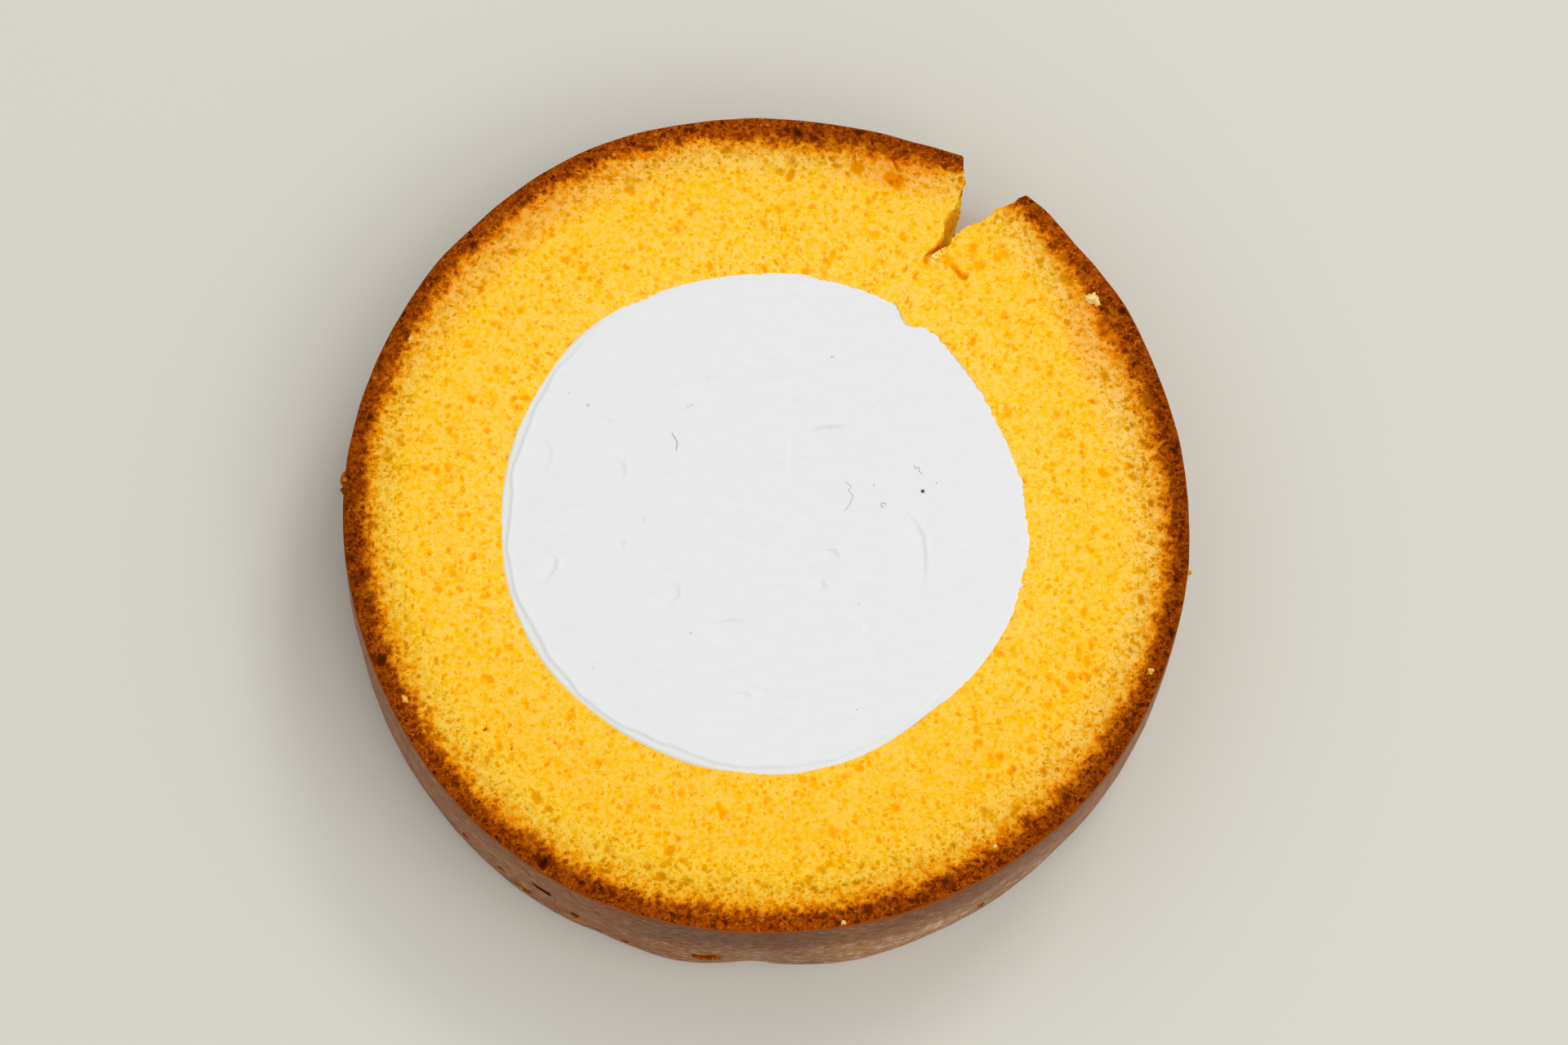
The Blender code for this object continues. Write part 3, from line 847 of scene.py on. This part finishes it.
looseCrumbs = [
    ((35.15, 24.35, 17.15), (0.42, 0.50, 0.32), 4.2, "pale", 0.0),
    ((35.65, 24.00, 17.10), (0.36, 0.34, 0.28), 4.2, "pale", 0.0),
    ((34.70, 24.50, 17.10), (0.28, 0.30, 0.22), 4.2, "pale", 0.0),
    ((40.52, -17.0, 17.1), (0.34, 0.28, 0.25), 4.0, "crumb", 0.0),
    ((-38.28, -19.96, 17.1), (0.36, 0.28, 0.25), 4.4, "crumb", 0.0),
    ((-38.02, 19.83, 17.1), (0.34, 0.30, 0.25), 4.2, "crumb", 0.0),
    ((7.77, -43.99, 17.0), (0.22, 0.24, 0.20), 12.0, "pale", 0.0),
    ((23.74, -35.9, 17.1), (0.22, 0.20, 0.18), 12.0, "pale", 0.0),
    ((44.87, -5.99, 16.6), (0.22, 0.26, 0.22), 2.6, "crumb", 0.0),
    ((18.05, 28.55, 17.30), (0.26, 0.30, 0.24), 14.0, "crumb", 0.0),
    ((18.40, 28.95, 17.45), (0.34, 0.30, 0.30), 14.0, "crumb", 0.0),
    ((18.80, 29.30, 17.50), (0.32, 0.36, 0.32), 14.0, "crumb", 0.0),
    ((19.25, 29.60, 17.45), (0.30, 0.28, 0.28), 14.0, "crumb", 0.0),
    ((18.75, 28.85, 17.35), (0.24, 0.24, 0.22), 14.0, "crumb", 0.0),
    ((19.55, 29.85, 17.30), (0.24, 0.22, 0.22), 14.0, "crumb", 0.0),
    ((-45.2, 4.37, 16.5), (0.62, 0.34, 0.50), 1.9, "crumb", 0.0),
    ((-45.0, 3.2, 16.2), (0.34, 0.24, 0.36), 1.2, "crumb", 0.0),
    ((-6.85, -45.1, 3.75), (1.10, 0.12, 0.62), 1.3, "crumb", 0.0),
    ((-5.5, -45.1, 4.05), (0.50, 0.12, 0.36), 1.4, "crumb", 0.0),
    ((-20.4, -40.7, 4.6), (0.42, 0.14, 0.26), 1.6, "crumb", 0.0),
    ((-15.0, -42.9, 1.8), (0.34, 0.12, 0.20), 1.6, "crumb", 0.0),
    # a thin dark sliver on the skin: painted shade standing in for a slit
    ((-23.8, -38.8, 9.5), (1.05, 0.10, 0.14), 0.8, "crumb", 1.0),
    ((-32.1, -32.0, 4.8), (0.46, 0.10, 0.30), 1.6, "crumb", 0.0),
    ((-28.2, -35.5, 4.7), (0.40, 0.10, 0.24), 1.6, "crumb", 0.0),
    ((-26.0, -37.2, 2.9), (1.0, 0.10, 0.16), 1.9, "crumb", 0.0),
    ((23.1, -39.2, 2.9), (0.34, 0.12, 0.24), 1.6, "crumb", 0.0),
]

# What lies on the cream: lines are (points, half thickness), dots are (place, half size)
lintLines = [
    ([(-10.04, 9.26), (-9.52, 8.36), (-9.50, 7.8), (-9.61, 7.36)], 0.034),
    ([(8.41, 3.92), (9.05, 3.4), (8.75, 2.9), (9.27, 2.4), (9.0, 1.58), (8.38, 0.67)], 0.022),
    ([(11.46, 3.62), (11.50, 3.46)], 0.035),
    ([(15.85, 5.74), (15.95, 5.35), (16.3, 5.55), (16.35, 5.05), (16.71, 4.74)], 0.026),
    ([(7.0, 17.84), (7.35, 17.86)], 0.032),
    ([(-19.2, 12.35), (-19.0, 12.5), (-18.85, 12.3), (-19.05, 12.15)], 0.024),
    ([(-8.46, 12.08), (-8.1, 12.32), (-7.76, 12.45)], 0.016),
    ([(12.74, 1.3), (12.66, 1.49), (12.48, 1.56), (12.29, 1.48), (12.22, 1.3), (12.3, 1.1), (12.48, 1.04)], 0.032),
]

creamSpecks = [
    ((16.69, 2.84), 0.19),
    ((18.18, 3.75), 0.05),
    ((9.75, -9.57), 0.04),
    ((9.37, -21.15), 0.05),
    ((-8.11, -12.78), 0.05),
    ((-18.48, -16.69), 0.04),
    ((-21.03, 13.71), 0.04),
]


paleLook = {
    "body": lookAs(248, 204, 100, crumbLight),
    "light": lookAs(250, 218, 148, crumbLight),
}


def paleSurface():
    made, tree, shader = newSurface("pale crumb")
    here = addNode(tree, "TexCoord", {}).outputs["Object"]
    grain = grainOf(tree, here, 1800.0)
    colour = mixColour(tree, softStep(tree, grain, 0.40, 0.60), paleLook["body"], paleLook["light"])
    tree.links.new(colour, shader.inputs["Base Color"])
    shader.inputs["Roughness"].default_value = 1.0
    shader.inputs["Specular IOR Level"].default_value = 0.0
    bump = addNode(tree, "Bump", {"Height": grain, "Strength": 0.3, "Distance": 0.00007})
    tree.links.new(bump.outputs["Normal"], shader.inputs["Normal"])
    return made


def makeCrumbs(surface, skin):
    skinTree = kdtree.KDTree(len(skin))
    for order, place in enumerate(skin.tolist()):
        skinTree.insert(place, order)
    skinTree.balance()
    heap = bmesh.new()
    facts = []
    for order, (place, halves, fromSkin, finish, dark) in enumerate(looseCrumbs):
        if place[2] < 16.8:  # it sticks to the wall
            found = skinTree.find(place)[0]
            outward = (found.xy.length + 0.3 * halves[1]) / math.hypot(place[0], place[1])
            place = (place[0] * outward, place[1] * outward, place[2])
        lump = bmesh.ops.create_icosphere(heap, subdivisions=3, radius=1.0)["verts"]
        for vert in lump:
            push = 1.0 + 0.9 * noise.noise(vert.co * 1.3 + Vector((order, 0.0, 0.0))) + 0.6 * noise.noise(vert.co * 3.5)
            vert.co = Vector([vert.co[axis] * halves[axis] * push for axis in range(3)])
        alongSkin = math.atan2(place[1], place[0]) - 0.5 * math.pi
        bmesh.ops.rotate(heap, verts=lump, cent=(0.0, 0.0, 0.0), matrix=Matrix.Rotation(alongSkin, 3, "Z"))
        bmesh.ops.translate(heap, verts=lump, vec=place)
        for face in {face for vert in lump for face in vert.link_faces}:
            face.material_index = 1 if finish == "pale" else 0
        facts += [(fromSkin, dark)] * len(lump)
    mesh = meshOf("loose_crumbs", heap)
    fromSkin, dark = np.array(facts).T
    mesh.vertices.foreach_set("co", (placesOf(mesh) * mm).ravel())
    addValues(mesh, "sheetPlace", np.stack((fromSkin, fromSkin, 5.0 + 0.0 * dark), axis=1) * mm)
    addValues(mesh, "bakedFrom", fromSkin)
    addValues(mesh, "hollow", dark)
    addValues(mesh, "toastAndShade", 0.0 * dark)
    torn = ease(12.5, 13.5, fromSkin)[:, None]  # crumbs torn from the inside catch the light
    addValues(mesh, "tone", 1.0 + torn * np.array((-0.03, 0.28, 1.5)))
    return toScene("loose_crumbs", mesh, [surface, paleSurface()])


def makeLint(core):
    heights = kdtree.KDTree(len(core))
    for order, place in enumerate(core.tolist()):
        heights.insert((place[0], place[1], 0.0), order)
    heights.balance()

    def level(x, y):  # the cream's height there
        return core[heights.find((x, y, 0.0))[1]][2]

    thread = bmesh.new()
    for points, halfThick in lintLines:
        rings = []
        for order, (x, y) in enumerate(points):
            before, after = points[max(0, order - 1)], points[min(len(points) - 1, order + 1)]
            heading = Vector((after[0] - before[0], after[1] - before[1], 0.0)).normalized()
            ring = bmesh.ops.create_circle(thread, segments=6, radius=halfThick)["verts"]
            turn = heading.to_track_quat("Z", "Y").to_matrix().to_4x4()
            bmesh.ops.transform(thread, matrix=Matrix.Translation((x, y, level(x, y) + halfThick)) @ turn, verts=ring)
            rings.append(ring)
        for first, second in zip(rings, rings[1:]):
            sides = [edge for edge in thread.edges if all(vert in first for vert in edge.verts)]
            sides += [edge for edge in thread.edges if all(vert in second for vert in edge.verts)]
            bmesh.ops.bridge_loops(thread, edges=sides)
        for ring in (rings[0], rings[-1]):
            bmesh.ops.contextual_create(thread, geom=ring)
    specks = bmesh.new()
    for (x, y), half in creamSpecks:
        dot = bmesh.ops.create_icosphere(specks, subdivisions=2, radius=half)["verts"]
        bmesh.ops.translate(specks, verts=dot, vec=(x, y, level(x, y) + 0.3 * half))
    kinds = (("cream_lint", thread, lookAs(178, 176, 172)), ("cream_specks", specks, lookAs(70, 62, 56)))
    for name, builder, colour in kinds:
        bmesh.ops.recalc_face_normals(builder, faces=builder.faces[:])
        mesh = meshOf(name, builder)
        mesh.vertices.foreach_set("co", (placesOf(mesh) * mm).ravel())
        made, _, shader = newSurface(name)
        shader.inputs["Base Color"].default_value = colour
        shader.inputs["Roughness"].default_value = 0.8
        toScene(name, mesh, [made])


# Floor, lights and camera

studio = {
    "floor": (0.55, 0.535, 0.472, 1.0),
    "roomLight": 0.78,
    "keyPower": 5.3,
    "keySize": 1.0,
    "keyPlace": (0.42, -0.36, 1.05),
    "fillPower": 3.4,
    "fillSize": 0.4,
    "fillPlace": (0.45, 0.7, 0.9),
}

cameraFacts = {
    "lens": 140.625,  # mm, on a 36 mm sensor
    "distance": 652.2,  # mm to the point aimed at
    "aim": (-0.063, -1.035, 17.0),
    "tilt": 15.3,  # degrees from straight down
    "lean": 84.0,
    "offAxis": (-1.913, -0.435),
}


def addLight(name, place, power, size):
    light = bpy.data.lights.new(name, "AREA")
    light.shape = "DISK"
    light.size = size
    light.energy = power
    lamp = bpy.data.objects.new(name, light)
    lamp.location = place
    lamp.rotation_euler = (-Vector(place)).to_track_quat("-Z", "Y").to_euler()
    bpy.context.scene.collection.objects.link(lamp)


def makeStudio():
    ground = bmesh.new()
    bmesh.ops.create_grid(ground, x_segments=1, y_segments=1, size=1.5)
    floor = bpy.data.objects.new("floor", meshOf("floor", ground))
    bpy.context.scene.collection.objects.link(floor)
    made, _, shader = newSurface("pale floor")
    shader.inputs["Base Color"].default_value = studio["floor"]
    shader.inputs["Roughness"].default_value = 0.6
    floor.data.materials.append(made)
    world = bpy.data.worlds.new("soft room")
    world.use_nodes = True
    sky = world.node_tree.nodes["Background"]
    sky.inputs["Color"].default_value = (1.0, 1.0, 1.0, 1.0)
    sky.inputs["Strength"].default_value = studio["roomLight"]
    bpy.context.scene.world = world
    addLight("key", studio["keyPlace"], studio["keyPower"], studio["keySize"])
    addLight("fill", studio["fillPlace"], studio["fillPower"], studio["fillSize"])
    bpy.context.scene.view_settings.view_transform = "Standard"


def makeCamera():
    tilt, lean = math.radians(cameraFacts["tilt"]), math.radians(cameraFacts["lean"])
    faceUp = Vector((math.sin(tilt) * math.cos(lean), math.sin(tilt) * math.sin(lean), math.cos(tilt)))
    faceRight = Vector((0.0, 1.0, 0.0)).cross(faceUp).normalized()
    faceBack = faceUp.cross(faceRight)
    turn = Matrix((faceRight, faceBack, faceUp))
    seen = Vector((cameraFacts["offAxis"][0], cameraFacts["offAxis"][1], -cameraFacts["distance"]))
    data = bpy.data.cameras.new("camera")
    data.lens = cameraFacts["lens"]
    data.sensor_width = 36.0
    data.clip_start = 0.01
    data.clip_end = 10.0
    camera = bpy.data.objects.new("camera", data)
    camera.matrix_world = Matrix.Translation((Vector(cameraFacts["aim"]) - turn @ seen) * mm) @ turn.to_4x4()
    bpy.context.scene.collection.objects.link(camera)
    bpy.context.scene.camera = camera


crumb = crumbSurface("sponge crumb")
# the torn ends' tint is painted warm bounce light in the shaded notch
slide, skin = makeSponge([crumb, skinSurface(), crumbSurface("torn crumb", 1.0, (1.04, 0.96, 0.4))])
makeCrumbs(crumb, skin)
makeLint(makeCream(creamSurface(), slide))
makeStudio()
makeCamera()
